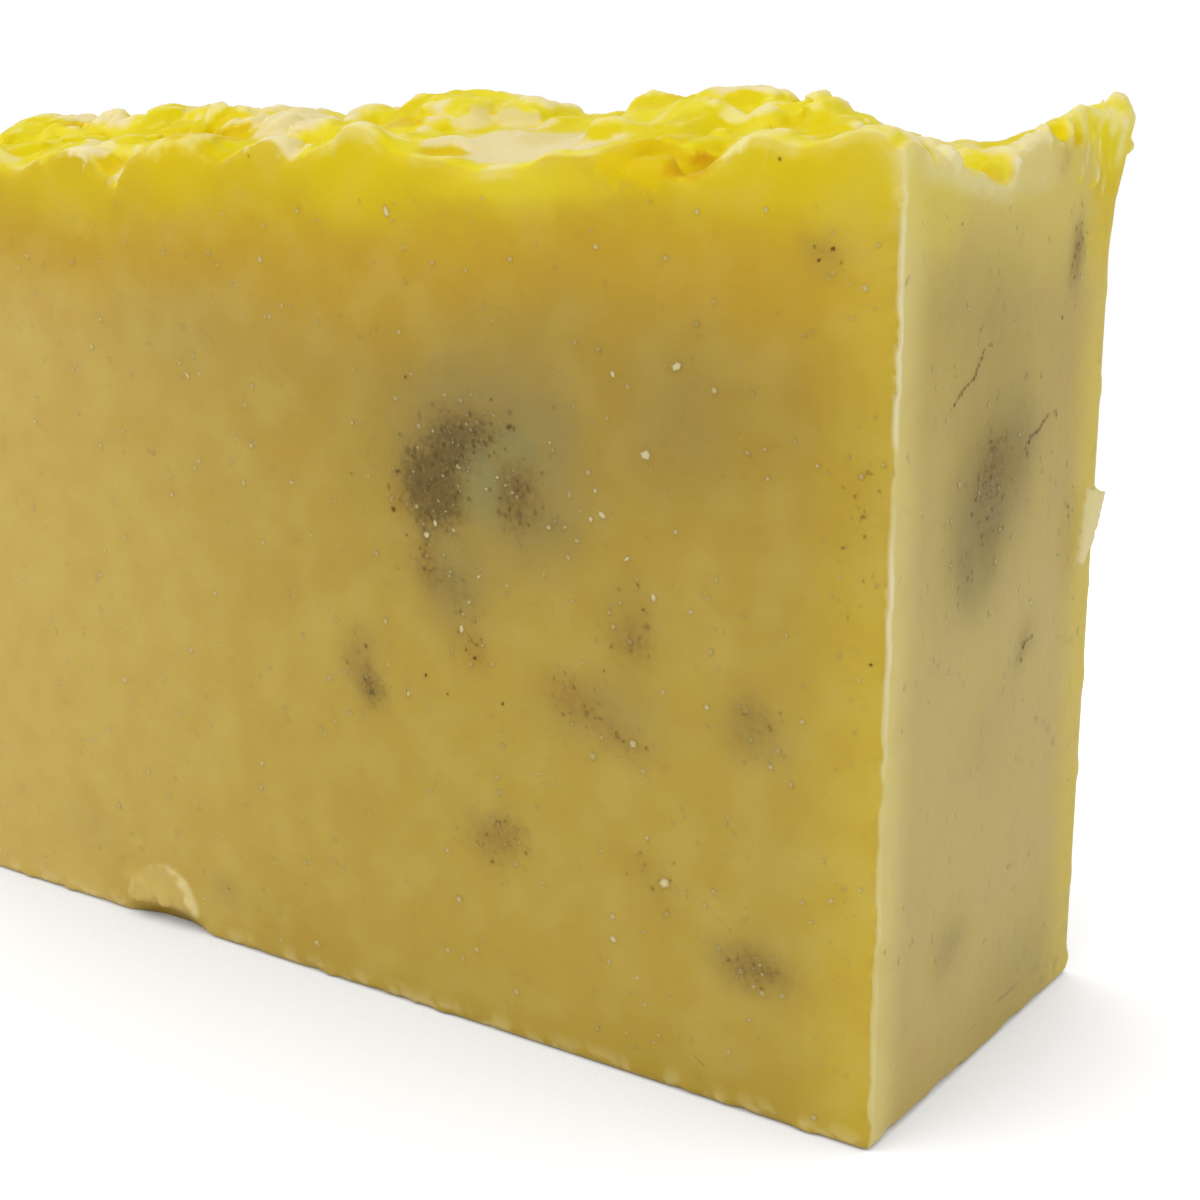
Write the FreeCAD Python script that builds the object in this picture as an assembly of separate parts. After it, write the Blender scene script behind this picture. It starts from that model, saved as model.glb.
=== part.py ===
"""Bar of hand-cut soap, one solid.

A slab cut from a poured loaf stands on its smooth resting face. The four sides are flat cuts with
slightly rounded edges. The top is the open side of the pour: it was heaped with a spoon while soft,
so it is a rough crest of knobs, crumbs and hollows, and the cut sides show that relief as a ragged
rim. The top corner at the back of the near end clung to the mould and flares out, one knob bulges
over the front face, the front's bottom edge has a bruise with a raised flake above it, and a shaving
left by the knife lies on the near end beside the back edge.

Frame: origin at the middle of the resting face, +X to the near end, -Y to the front face, +Z up.
Lengths are millimetres. A place on the top is given by two shares: "along" is 0 at the near end and
1 at the far end, and "across" is 0 at the front face and 1 at the back face.
"""

import FreeCAD
import Part

import math
import os
import random

# Size of the bar
LENGTH = 82.0
THICKNESS = 29.5
RIM_HEIGHT = 54.0
UPRIGHT_EDGE_RADIUS = 0.8
RESTING_EDGE_RADIUS = 0.5

# The crest: how far it is heaped above the rim, and how finely its relief is described
CREST_RISE = 1.3
CREST_RUN = 11.0
RELIEF_PITCH = 0.85
RELIEF_STRAY = 0.22
RELIEF_MARGIN = 1.7
RELIEF_SEED = 5
HEADROOM = 12.0

# Middling lumps scattered behind the front rim, and small crumbs scattered over the whole top.
# Each pair is the least and the most.
LUMP_SPACING = 5.2
LUMP_RADIUS = (1.9, 3.9)
LUMP_TOP = (0.9, 2.5)
LUMP_FROM_FRONT = 0.25
LUMP_FROM_NEAR_END = 14.0
LUMP_SEED = 4
CRUMB_SPACING = 2.9
CRUMB_RADIUS = (0.8, 1.9)
CRUMB_RISE = (0.1, 0.55)
CRUMB_SEED = 11

# Knobs of the crest, chosen by eye: along, across, radius along, radius across, top above the rim
KNOBS = [
    (0.000, 0.97, 1.5, 2.2, 3.3),
    (0.018, 0.86, 1.8, 2.4, 2.0),
    (0.030, 0.74, 2.2, 2.4, 1.3),
    (0.004, 0.62, 2.2, 2.8, 1.0),
    (0.030, 0.04, 3.2, 3.2, 0.5),
    (0.105, 0.05, 1.8, 3.2, 0.9),
    (0.092, 0.34, 2.0, 3.4, 1.6),
    (0.120, 0.40, 1.9, 3.8, 2.3),
    (0.160, 0.44, 2.6, 4.4, 2.7),
    (0.212, 0.46, 2.2, 5.2, 3.3),
    (0.240, 0.48, 2.6, 5.4, 3.5),
    (0.286, 0.50, 2.4, 4.4, 3.6),
    (0.328, 0.46, 1.9, 2.6, 2.1),
    (0.362, 0.44, 1.8, 2.8, 1.9),
    (0.405, 0.52, 2.4, 4.0, 3.0),
    (0.478, 0.52, 5.6, 6.4, 3.9),
    (0.566, 0.50, 3.0, 4.2, 3.3),
    (0.440, 0.04, 2.4, 3.2, 1.5),
    (0.535, 0.04, 2.2, 2.8, 0.9),
    (0.628, 0.03, 3.0, 3.6, 1.4),
    (0.625, 0.52, 2.4, 3.4, 2.2),
    (0.670, 0.50, 3.9, 5.4, 3.1),
    (0.745, 0.50, 3.2, 3.6, 3.1),
    (0.815, 0.46, 4.4, 4.8, 3.2),
    (0.750, 0.05, 2.8, 3.2, 0.6),
    (0.940, 0.45, 4.2, 6.0, 2.8),
    (0.880, 0.80, 3.6, 3.6, 1.9),
    (0.960, 0.12, 3.0, 3.4, 0.9),
    (0.640, 0.86, 4.2, 3.4, 1.7),
    (0.470, 0.90, 4.6, 3.4, 1.4),
    (0.330, 0.88, 3.4, 3.4, 1.8),
    (0.215, 0.86, 3.0, 3.0, 1.0),
]

# Hollows pressed into the crest, chosen by eye: along, across, radius along, radius across, depth
HOLLOWS = [
    (0.030, 0.38, 3.2, 4.6, 1.9),
    (0.095, 0.72, 4.4, 6.0, 0.9),
    (0.152, 0.03, 2.2, 3.4, 1.5),
    (0.240, 0.12, 4.0, 3.6, 0.5),
    (0.315, 0.10, 6.2, 8.0, 1.3),
    (0.345, 0.80, 3.0, 3.6, 0.9),
    (0.508, 0.01, 1.2, 2.2, 0.9),
    (0.590, 0.02, 1.5, 2.6, 0.7),
    (0.700, 0.01, 1.4, 3.0, 2.2),
    (0.828, 0.04, 3.2, 3.6, 1.1),
    (0.875, 0.45, 2.6, 4.4, 0.8),
    (0.560, 0.90, 2.6, 3.4, 1.2),
    (0.760, 0.90, 3.4, 3.4, 1.0),
]

# The corner that clung to the mould, a cone whose middle lies this far in from both faces
LIP_INSET = 1.2
LIP_FOOT = 49.0
LIP_FOOT_RADIUS = 1.1
LIP_TOP = 58.0
LIP_TOP_RADIUS = 2.8

# The knob that bulges over the front face
BULGE_ALONG = 0.63
BULGE_HALF_WIDTH = 3.6
BULGE_OUT = 0.4
BULGE_ROOT = 1.0
BULGE_DROP = 1.0

# The bruise in the front's bottom edge, a dent of a ball, and the flake above it
BRUISE_ALONG = 0.685
BRUISE_BALL = 12.0
BRUISE_BALL_IN_FRONT = 8.8
BRUISE_BALL_BELOW = 6.6
FLAKE_WIDTH = 6.4
FLAKE_FOOT = 1.1
FLAKE_FOOT_SLOPE = 0.4
FLAKE_HEIGHT = 3.4
FLAKE_OUT = 0.8
FLAKE_ROOT = 1.0

# The shaving on the near end, a sliver given by its corners: distance in from the back face, height
SHAVING = [(2.7, 33.5), (-0.1, 33.0), (1.2, 30.6), (2.8, 28.7), (3.8, 28.9)]
SHAVING_OUT = 0.5
SHAVING_ROOT = 0.5
TAB_FOOT = 32.6
TAB_HEIGHT = 1.9
TAB_WIDTH = 1.3
TAB_INSET = 0.8
TAB_OUT = 1.7
TAB_ROOT = 1.0


def dome(u, v):
    """A round, steep-sided knob of height 1 at its middle, which ends at a distance of 1 from it."""
    square = u * u + v * v
    return math.sqrt(1.0 - square) if square < 1.0 else 0.0


def dish(u, v):
    """A soft hollow of depth 1 at its middle, which fades out at a distance of 1 from it."""
    square = u * u + v * v
    return (1.0 - square) ** 2 if square < 1.0 else 0.0


def offsets(x, y, along, across, radius_x, radius_y):
    """Where x, y lies from a feature's middle, in that feature's radii."""
    centre_x = LENGTH * (0.5 - along)
    centre_y = THICKNESS * (across - 0.5)
    return (x - centre_x) / radius_x, (y - centre_y) / radius_y


def scatter(spacing, radii, heights, front, seed):
    """Round features on a loose grid over the top: along, across, two radii and a height."""
    chance = random.Random(seed)
    rows = max(1, round(THICKNESS * (1.0 - front) / spacing))
    columns = max(1, round(LENGTH / spacing))
    found = []
    for column in range(columns):
        for row in range(rows):
            along = (column + chance.random()) / columns
            across = front + (1.0 - front) * (row + chance.random()) / rows
            radius = chance.uniform(*radii)
            stretch = chance.uniform(0.75, 1.3)
            found.append((along, across, radius * stretch, radius / stretch, chance.uniform(*heights)))
    return found


def relief(x, y, knobs, crumbs):
    """Height of the top at x, y: the crest with its knobs, its hollows and its crumbs."""
    share = min(1.0, max(0.0, y / THICKNESS + 0.5))
    from_near_end = max(0.0, LENGTH / 2 - x)
    near_end = min(1.0, from_near_end / CREST_RUN)
    crest = CREST_RISE * math.sin(math.pi * share) * near_end
    height = crest
    for along, across, radius_x, radius_y, top in knobs:
        strength = dome(*offsets(x, y, along, across, radius_x, radius_y))
        if strength > 0.0:
            height = max(height, crest * (1.0 - strength) + top * strength)
    for along, across, radius_x, radius_y, depth in HOLLOWS:
        height -= depth * dish(*offsets(x, y, along, across, radius_x, radius_y))
    for along, across, radius_x, radius_y, rise in crumbs:
        height += rise * dome(*offsets(x, y, along, across, radius_x, radius_y))
    return RIM_HEIGHT + height


def top_features():
    """All knobs, with the scattered lumps that keep clear of the near end, and all crumbs."""
    lumps = scatter(LUMP_SPACING, LUMP_RADIUS, LUMP_TOP, LUMP_FROM_FRONT, LUMP_SEED)
    lumps = [lump for lump in lumps if lump[0] * LENGTH > LUMP_FROM_NEAR_END]
    crumbs = scatter(CRUMB_SPACING, CRUMB_RADIUS, CRUMB_RISE, 0.0, CRUMB_SEED)
    return KNOBS + lumps, crumbs


def even_steps(low, high, pitch):
    """Places from low to high in equal steps of about the given pitch."""
    count = max(4, round((high - low) / pitch))
    return [low + (high - low) * i / count for i in range(count + 1)]


def strayed(place, step, count, chance):
    """The place moved a little to either side, unless it is the first or the last of its row."""
    if step in (0, count - 1):
        return place
    return place + chance.uniform(-RELIEF_STRAY, RELIEF_STRAY)


def air():
    """The air above the bar, a solid of flat facets that has the relief as its underside."""
    knobs, crumbs = top_features()
    chance = random.Random(RELIEF_SEED)
    half_x = LENGTH / 2 + RELIEF_MARGIN
    half_y = THICKNESS / 2 + RELIEF_MARGIN
    columns = even_steps(-half_x, half_x, RELIEF_PITCH)
    rows = even_steps(-half_y, half_y, RELIEF_PITCH)
    wide = len(columns)
    deep = len(rows)
    points = []
    for j, row in enumerate(rows):
        for i, column in enumerate(columns):
            x = strayed(column, i, wide, chance)
            y = strayed(row, j, deep, chance)
            points.append(FreeCAD.Vector(x, y, relief(x, y, knobs, crumbs)))
    facets = []
    for j in range(deep - 1):
        for i in range(wide - 1):
            here = j * wide + i
            right, behind, across = here + 1, here + wide, here + wide + 1
            if abs(points[here].z - points[across].z) < abs(points[right].z - points[behind].z):
                facets += [(here, across, right), (here, behind, across)]
            else:
                facets += [(here, behind, right), (right, behind, across)]
    border = [i for i in range(wide)]
    border += [j * wide + wide - 1 for j in range(1, deep)]
    border += [(deep - 1) * wide + i for i in range(wide - 2, -1, -1)]
    border += [j * wide for j in range(deep - 2, 0, -1)]
    ceiling = RIM_HEIGHT + 2 * HEADROOM
    first_high = len(points)
    points += [FreeCAD.Vector(points[k].x, points[k].y, ceiling) for k in border]
    middle = len(points)
    points.append(FreeCAD.Vector(0, 0, ceiling))
    for k, low in enumerate(border):
        after = (k + 1) % len(border)
        next_low = border[after]
        high = first_high + k
        next_high = first_high + after
        facets += [(low, next_low, next_high), (low, next_high, high), (high, next_high, middle)]
    skin = Part.Shape()
    skin.makeShapeFromMesh((points, facets), 0.001)
    return Part.Solid(skin.Shells[0])


def slab():
    """The block the knife cut, taller than the bar, with its edges slightly rounded."""
    corner = FreeCAD.Vector(-LENGTH / 2, -THICKNESS / 2, 0)
    block = Part.makeBox(LENGTH, THICKNESS, RIM_HEIGHT + HEADROOM, corner)
    upright = [edge for edge in block.Edges if abs(edge.tangentAt(edge.FirstParameter).z) > 0.5]
    block = block.makeFillet(UPRIGHT_EDGE_RADIUS, upright)
    resting = [edge for edge in block.Edges if edge.BoundBox.ZMax < 0.001]
    return block.makeFillet(RESTING_EDGE_RADIUS, resting)


def lip():
    """The flare of the top corner at the near end, beside the back face."""
    foot = FreeCAD.Vector(LENGTH / 2 - LIP_INSET, THICKNESS / 2 - LIP_INSET, LIP_FOOT)
    return Part.makeCone(LIP_FOOT_RADIUS, LIP_TOP_RADIUS, LIP_TOP - LIP_FOOT, foot)


def bulge():
    """The cap of a ball, which bulges over the front face under the rim."""
    radius = (BULGE_HALF_WIDTH**2 + BULGE_OUT**2) / (2 * BULGE_OUT)
    x = LENGTH * (0.5 - BULGE_ALONG)
    front = -THICKNESS / 2 - BULGE_OUT
    height = RIM_HEIGHT - BULGE_DROP
    ball = Part.makeSphere(radius, FreeCAD.Vector(x, front + radius, height))
    corner = FreeCAD.Vector(x - radius, front, height - radius)
    return ball.common(Part.makeBox(2 * radius, BULGE_OUT + BULGE_ROOT, 2 * radius, corner))


def bruise():
    """The ball that dents the front's bottom edge."""
    x = LENGTH * (0.5 - BRUISE_ALONG)
    y = -THICKNESS / 2 - BRUISE_BALL_IN_FRONT
    return Part.makeSphere(BRUISE_BALL, FreeCAD.Vector(x, y, -BRUISE_BALL_BELOW))


def flake():
    """The scalloped flake above the bruise, level with the face at its top and raised at its foot."""
    x = LENGTH * (0.5 - BRUISE_ALONG)
    face_y = -THICKNESS / 2
    root_y = face_y + FLAKE_ROOT
    side_x = x - FLAKE_WIDTH / 2
    top = FLAKE_FOOT + FLAKE_HEIGHT
    profile = [
        FreeCAD.Vector(side_x, root_y, FLAKE_FOOT),
        FreeCAD.Vector(side_x, face_y - FLAKE_OUT, FLAKE_FOOT + FLAKE_FOOT_SLOPE),
        FreeCAD.Vector(side_x, face_y, top),
        FreeCAD.Vector(side_x, root_y, top),
    ]
    wedge = Part.Face(Part.makePolygon(profile + profile[:1])).extrude(FreeCAD.Vector(FLAKE_WIDTH, 0, 0))
    middle = FreeCAD.Vector(x, face_y - 2 * FLAKE_OUT, FLAKE_FOOT)
    run = 2 * FLAKE_OUT + 2 * FLAKE_ROOT
    scallop = Part.makeCylinder(FLAKE_WIDTH / 2, run, middle, FreeCAD.Vector(0, 1, 0))
    return wedge.common(scallop)


def shaving():
    """The sliver left on the near end and its tab, which stands out past the back face."""
    back = THICKNESS / 2
    start_x = LENGTH / 2 - SHAVING_ROOT
    corners = [FreeCAD.Vector(start_x, back - inset, height) for inset, height in SHAVING]
    outline = Part.Face(Part.makePolygon(corners + corners[:1]))
    sliver = outline.extrude(FreeCAD.Vector(SHAVING_ROOT + SHAVING_OUT, 0, 0))
    foot = FreeCAD.Vector(LENGTH / 2 - TAB_INSET - TAB_WIDTH, back - TAB_ROOT, TAB_FOOT)
    tab = Part.makeBox(TAB_WIDTH, TAB_ROOT + TAB_OUT, TAB_HEIGHT, foot)
    return sliver.fuse(tab)


def main():
    """Build the bar and write it."""
    os.makedirs("parts", exist_ok=True)
    block = slab().fuse([lip(), bulge()])
    body = block.cut(air()).cut(bruise())
    body = body.fuse([flake(), shaving()])
    body.exportStep("parts/soap_bar.step")


main()
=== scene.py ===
"""Bar of hand-cut soap: its skin, torn crest, burrs and material, on a white studio floor."""

import math

import bmesh
import bpy
import numpy as np
import openvdb
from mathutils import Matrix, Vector

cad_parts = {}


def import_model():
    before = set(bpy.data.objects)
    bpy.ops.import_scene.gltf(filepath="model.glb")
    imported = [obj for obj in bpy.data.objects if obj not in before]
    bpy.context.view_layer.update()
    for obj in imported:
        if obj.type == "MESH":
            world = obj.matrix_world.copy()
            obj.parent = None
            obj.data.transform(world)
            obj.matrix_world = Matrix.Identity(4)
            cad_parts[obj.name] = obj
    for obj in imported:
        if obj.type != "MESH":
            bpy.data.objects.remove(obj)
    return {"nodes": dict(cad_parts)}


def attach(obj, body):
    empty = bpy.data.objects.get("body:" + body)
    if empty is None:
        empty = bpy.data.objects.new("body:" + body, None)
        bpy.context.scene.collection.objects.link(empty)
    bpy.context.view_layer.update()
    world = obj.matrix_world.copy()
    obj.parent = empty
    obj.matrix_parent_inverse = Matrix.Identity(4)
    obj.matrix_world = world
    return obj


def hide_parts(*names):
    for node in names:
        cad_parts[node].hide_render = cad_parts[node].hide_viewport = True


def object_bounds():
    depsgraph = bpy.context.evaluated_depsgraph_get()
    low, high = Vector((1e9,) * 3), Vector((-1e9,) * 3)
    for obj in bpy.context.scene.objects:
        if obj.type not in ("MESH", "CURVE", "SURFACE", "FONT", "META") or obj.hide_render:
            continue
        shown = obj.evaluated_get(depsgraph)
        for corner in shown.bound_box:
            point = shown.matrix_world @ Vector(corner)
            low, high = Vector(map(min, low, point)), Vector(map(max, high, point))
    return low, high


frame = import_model()
cad_low, cad_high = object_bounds()

# Sizes of the bar in millimetres, in the frame: near end at +X, front face at -Y
HALF_LENGTH = 41.0
HALF_THICKNESS = 14.75
RIM = 54.0

# Millimetres in a metre, and a distance beyond every side of the bar
MM = 1000.0
FAR = 100.0

# The field of distances that the skin is carved in
VOXEL = 0.25
BAND = 6.0
CREST_FROM = 44.0
MESH_EASE = 0.0145

# The longest edges of the mesh on the faces that the camera sees, and on the others, how near an edge
# is to a face that it counts with, and how far above the floor in metres the cutting starts
FINE_EDGE = 1.15
COARSE_EDGE = 3.2
NEAR_FACE = 0.3
OFF_FLOOR = 0.0004

SEED = 7


# Carving tools


def vectors(items, name):
    """A vector of every vertex or normal, as rows of three numbers."""
    values = np.zeros(len(items) * 3, np.float32)
    items.foreach_get(name, values)
    return values.reshape(-1, 3)


class Field:
    """Distances to the skin on a grid, in millimetres, negative inside the soap."""

    def __init__(self, node):
        mesh = node.data
        mesh.calc_loop_triangles()
        corners = np.zeros(len(mesh.loop_triangles) * 3, np.int32)
        mesh.loop_triangles.foreach_get("vertices", corners)
        self.transform = openvdb.createLinearTransform(VOXEL)
        grid = openvdb.FloatGrid.createLevelSetFromPolygons(
            vectors(mesh.vertices, "co") * MM,
            triangles=corners.reshape(-1, 3).astype(np.uint32),
            transform=self.transform,
            halfWidth=BAND,
        )
        self.reach = float(grid.background)
        low, high = grid.evalActiveVoxelBoundingBox()
        self.first = low
        shape = [high[i] - low[i] + 1 for i in range(3)]
        self.values = np.zeros(shape, np.float32)
        grid.copyToArray(self.values, ijk=low)

    def axis(self, i, part):
        """The coordinates of the grid's planes along a part of an axis, in millimetres."""
        return ((np.arange(self.values.shape[i]) + self.first[i]) * VOXEL)[part].astype(np.float32)

    def window(self, low, high):
        """The slices of the grid that hold a box."""
        found = []
        for i in range(3):
            start = int(math.floor(low[i] / VOXEL)) - self.first[i]
            stop = int(math.ceil(high[i] / VOXEL)) - self.first[i] + 1
            found.append(slice(max(0, start), max(0, min(self.values.shape[i], stop))))
        return tuple(found)

    def axes(self, window):
        """The coordinates of a window's planes along each axis."""
        return [self.axis(i, window[i]) for i in range(3)]

    def places(self, window):
        """Coordinates of a window's grid points, ready to be combined by broadcasting."""
        x, y, z = self.axes(window)
        return x[:, None, None], y[None, :, None], z[None, None, :]

    def egg(self, centre, radii, turn=0.0, tilt=0.0):
        """A window and the rough distances to an egg in it, turned about Z and tilted about Y."""
        span = max(radii) + self.reach
        window = self.window([c - span for c in centre], [c + span for c in centre])
        x, y, z = self.places(window)
        x, y, z = x - centre[0], y - centre[1], z - centre[2]
        x, y = x * math.cos(turn) + y * math.sin(turn), y * math.cos(turn) - x * math.sin(turn)
        x, z = x * math.cos(tilt) + z * math.sin(tilt), z * math.cos(tilt) - x * math.sin(tilt)
        share = np.sqrt((x / radii[0]) ** 2 + (y / radii[1]) ** 2 + (z / radii[2]) ** 2)
        return window, ((share - 1.0) * min(radii)).astype(np.float32)

    def carve(self, centre, radii, turn=0.0, tilt=0.0, soft=0.3):
        """Scoops an egg out of the soap."""
        window, egg = self.egg(centre, radii, turn, tilt)
        self.values[window] = smooth_max(self.values[window], -egg, soft)

    def add(self, centre, radii, turn=0.0, tilt=0.0, soft=0.3):
        """Adds an egg of soap."""
        window, egg = self.egg(centre, radii, turn, tilt)
        self.values[window] = -smooth_max(-self.values[window], -egg, soft)

    def mesh(self):
        """Points in millimetres, triangles and quads of the skin."""
        grid = openvdb.FloatGrid(self.reach)
        grid.copyFromArray(np.ascontiguousarray(self.values), ijk=self.first, tolerance=0.0)
        grid.transform = self.transform
        return grid.convertToPolygons(isovalue=0.0, adaptivity=MESH_EASE)


def smooth_max(a, b, soft):
    """The larger of two fields, with a soft join."""
    mix = np.clip(0.5 + 0.5 * (a - b) / soft, 0.0, 1.0)
    return (b + (a - b) * mix + soft * mix * (1.0 - mix)).astype(np.float32)


def eased(share):
    """A share from 0 to 1 with soft ends."""
    return share * share * (3.0 - 2.0 * share)


def ramp(values, start, stop):
    """0 at start, 1 at stop, with soft ends."""
    return eased(np.clip((values - start) / (stop - start), 0.0, 1.0))


def noise(axes, cell, seed):
    """Soft random lumps between -1 and 1 on a grid, with the given cell size in millimetres."""
    lows = [float(a[0]) for a in axes]
    counts = [int((float(a[-1]) - low) / cell) + 3 for a, low in zip(axes, lows)]
    values = np.random.default_rng(seed).uniform(-1.0, 1.0, counts).astype(np.float32)
    for i, (places, low) in enumerate(zip(axes, lows)):
        at = (places - low) / cell
        base = np.floor(at).astype(int)
        shape = [1, 1, 1]
        shape[i] = -1
        share = eased(at - base).reshape(shape).astype(np.float32)
        values = np.take(values, base, axis=i) * (1.0 - share) + np.take(values, base + 1, axis=i) * share
    return values


def blurred(values, reach):
    """A copy of a field averaged over a cube of the given half width in steps, twice."""
    for i in range(3):
        for _ in range(2):
            wide = [(0, 0)] * 3
            wide[i] = (reach + 1, reach)
            total = np.cumsum(np.pad(values, wide, mode="edge"), axis=i, dtype=np.float64)
            count = values.shape[i]
            upper = np.take(total, np.arange(count) + 2 * reach + 1, axis=i)
            lower = np.take(total, np.arange(count), axis=i)
            values = ((upper - lower) / (2 * reach + 1)).astype(np.float32)
    return values


# Colours as they look on screen, from 0 to 255
WHITE = (240, 235, 212)
IVORY = (234, 222, 166)
CREAM = (227, 211, 154)
PALE = (226, 214, 158)
TAN = (212, 192, 108)
EDGE = (212, 194, 84)
LEMON = (226, 210, 40)
VIVID = (218, 198, 6)
DEEP = (214, 184, 2)
# Amber is painted shade, laid in the deepest hollows and in the large cavity
AMBER_SHADE = (204, 152, 6)
OLIVE = (140, 114, 10)
SAGE = (136, 131, 82)
FLECK = (226, 213, 152)
SPECK = (104, 76, 28)

# Spots are flat fans that lie about this far above the cut faces, each at its own height. They have
# few corners and turn a little. Those with a half size above the last number fade in two rings
SPOT_LIFT = 0.012
SPOT_CORNERS = 5
SPOT_TURN = 0.3
LARGE_SPOT = 0.14

# The flake above the bruise: its middle from the near end, and the height and radius of its scallop
FLAKE_FROM_END = 56.17
FLAKE_FOOT = 1.1
FLAKE_RADIUS = 3.2

# Stains in the cut faces, and one painted shadow among the rusty ones, by kind and face: strength,
# distance from the near end or, on the end face, from the front face, height, half width and half height
HAZE, CORE, RUST_AND_SHADOW = 0, 1, 2
FRONT_DEPTH = 3.0
END_DEPTH = 2.0
SOFT_SPREAD = 1.45
STAINS_AND_SHADOW = [
    (HAZE, "front", [
        (0.62, 26.6, 35.5, 10.5, 9.5), (0.58, 27, 38.8, 6.4, 3.8), (0.6, 23.4, 37.6, 4.2, 3.4),
        (0.45, 29, 28, 3, 4.2), (0.35, 22.6, 33.6, 4, 3.4), (0.5, 36.3, 22.4, 2.2, 3.4),
        (0.62, 18.2, 22.2, 5.4, 3), (0.35, 16, 27.4, 2.6, 3.4), (0.52, 12.6, 39.6, 5, 5.6),
        (0.5, 8, 23.1, 2.6, 2.8), (0.45, 25.8, 13.2, 3.2, 2.6), (0.55, 7.6, 9.2, 3.9, 2.5),
        (0.4, 4.1, 48.9, 1.8, 1.5), (0.22, 21, 45, 9, 4), (0.4, 49.9, 4, 1.9, 1.6), (0.2, 63.7, 6.2, 6, 3),
        (0.22, 52, 43, 8, 4),
    ]),
    (HAZE, "end", [
        (0.78, 12.8, 35, 5.8, 7), (0.5, 16.2, 37.8, 4.2, 4), (0.18, 21, 36, 6, 9), (0.46, 8.6, 33, 4.6, 6),
        (0.3, 10.5, 47, 6, 4.2), (0.32, 14, 43.6, 5, 3.6), (0.14, 5, 45.5, 3.6, 3.6),
        (0.22, 8.7, 41, 3.4, 3.6), (0.4, 18.4, 25.2, 2.4, 2.4), (0.5, 23.6, 48.4, 1.7, 3),
        (0.4, 9.4, 9, 3.8, 3.4), (0.25, 14, 21, 5.5, 5), (0.25, 20, 4, 7, 3.4),
    ]),
    (CORE, "front", [
        (1, 30.1, 35.4, 3.1, 3.1), (0.8, 28, 37.3, 2.8, 1.9), (0.45, 26.8, 38.1, 1.8, 1.4),
        (0.5, 31.8, 34.7, 1.7, 2.6), (0.7, 30, 33.3, 2.3, 2.3), (0.74, 23.9, 34.8, 1.8, 2.5),
        (0.35, 24.4, 33.2, 1.7, 1.5), (0.3, 31, 30.3, 1.4, 2), (0.35, 29.6, 28.8, 2.1, 1.2),
        (0.3, 28.1, 27.8, 1.7, 1.5), (0.8, 35.8, 21.2, 1.3, 1.6), (0.35, 24.6, 38.5, 1.4, 1.1),
        (0.3, 21.2, 33, 1.5, 1.1), (0.4, 16, 26.8, 1.5, 1.2), (0.35, 8, 23.1, 1.4, 1.6),
        (0.36, 25.2, 13.8, 2, 1.5), (0.35, 26.7, 12.3, 1.2, 1), (0.55, 7.4, 9.3, 2.7, 1.3),
    ]),
    (CORE, "end", [
        (0.55, 12.7, 35.4, 3.2, 3.4), (0.3, 13, 38, 2.6, 1.8), (0.5, 23.6, 48.4, 0.8, 1.9),
        (0.3, 18.4, 25.1, 1.1, 1.3), (0.25, 9.4, 9, 1.8, 1.5), (0.3, 9, 31.4, 1.2, 2.6),
    ]),
    (RUST_AND_SHADOW, "front", [
        (0.75, 33.2, 33.2, 0.8, 1.4), (0.35, 31, 30.2, 1.2, 2), (0.45, 23.9, 34.6, 1.8, 2.2),
        (0.3, 28.5, 39, 4, 1.6), (0.45, 27.2, 24.5, 1.1, 1.4), (0.55, 35.8, 21.4, 1.2, 1.6),
        (0.4, 20.3, 23.2, 2, 1.8), (0.42, 25.8, 13.1, 2.6, 1.6), (0.5, 7.6, 9.2, 2.2, 1.4),
    ]),
    (RUST_AND_SHADOW, "end", [
        (0.45, 20.8, 53.4, 0.9, 0.9), (0.6, 23.5, 48.4, 0.9, 2.4), (0.35, 12, 35.6, 3, 3.6),
    ]),
    (RUST_AND_SHADOW, "front", [
        (0.45, 36.7, 22.8, 1.2, 2.2), (0.35, 30.6, 29.6, 1.4, 1.8), (0.35, 27.9, 24.8, 1.6, 2.2),
        (0.45, 20.8, 23.3, 1.8, 1.2), (0.45, 18.9, 22.2, 1.8, 1.2), (0.5, 17, 21, 1.6, 1.1),
        (0.5, 15.3, 20.2, 1.4, 1), (0.45, 16, 26.9, 1.8, 1.5), (0.3, 15.4, 29.6, 1.2, 1.6),
        (0.3, 8, 23.1, 2.2, 2.3), (0.3, 25.8, 13, 2.4, 2), (0.4, 4, 48.9, 1.3, 1),
        (0.35, 14.8, 12.9, 2.4, 2.2), (0.3, 1.6, 36, 1.6, 5),
    ]),
    # Painted shadow: this thin rusty mark on the end face lies just in front of the lifted sliver, in its
    # shadow
    (RUST_AND_SHADOW, "end", [
        (0.3, 24.6, 31, 1.5, 4),
    ]),
]


def stains_and_shadow():
    """Every stain, and the painted shadow beside the sliver: its kind, its strength, its place and its three
    radii.
    """
    for kind, face, rows in STAINS_AND_SHADOW:
        for strength, along, height, wide, high in rows:
            if face == "front":
                yield kind, strength, (along, 0.0, height), (wide, FRONT_DEPTH, high)
            else:
                yield kind, strength, (0.0, along, height), (END_DEPTH, wide, high)


# The soap's skin

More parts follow.
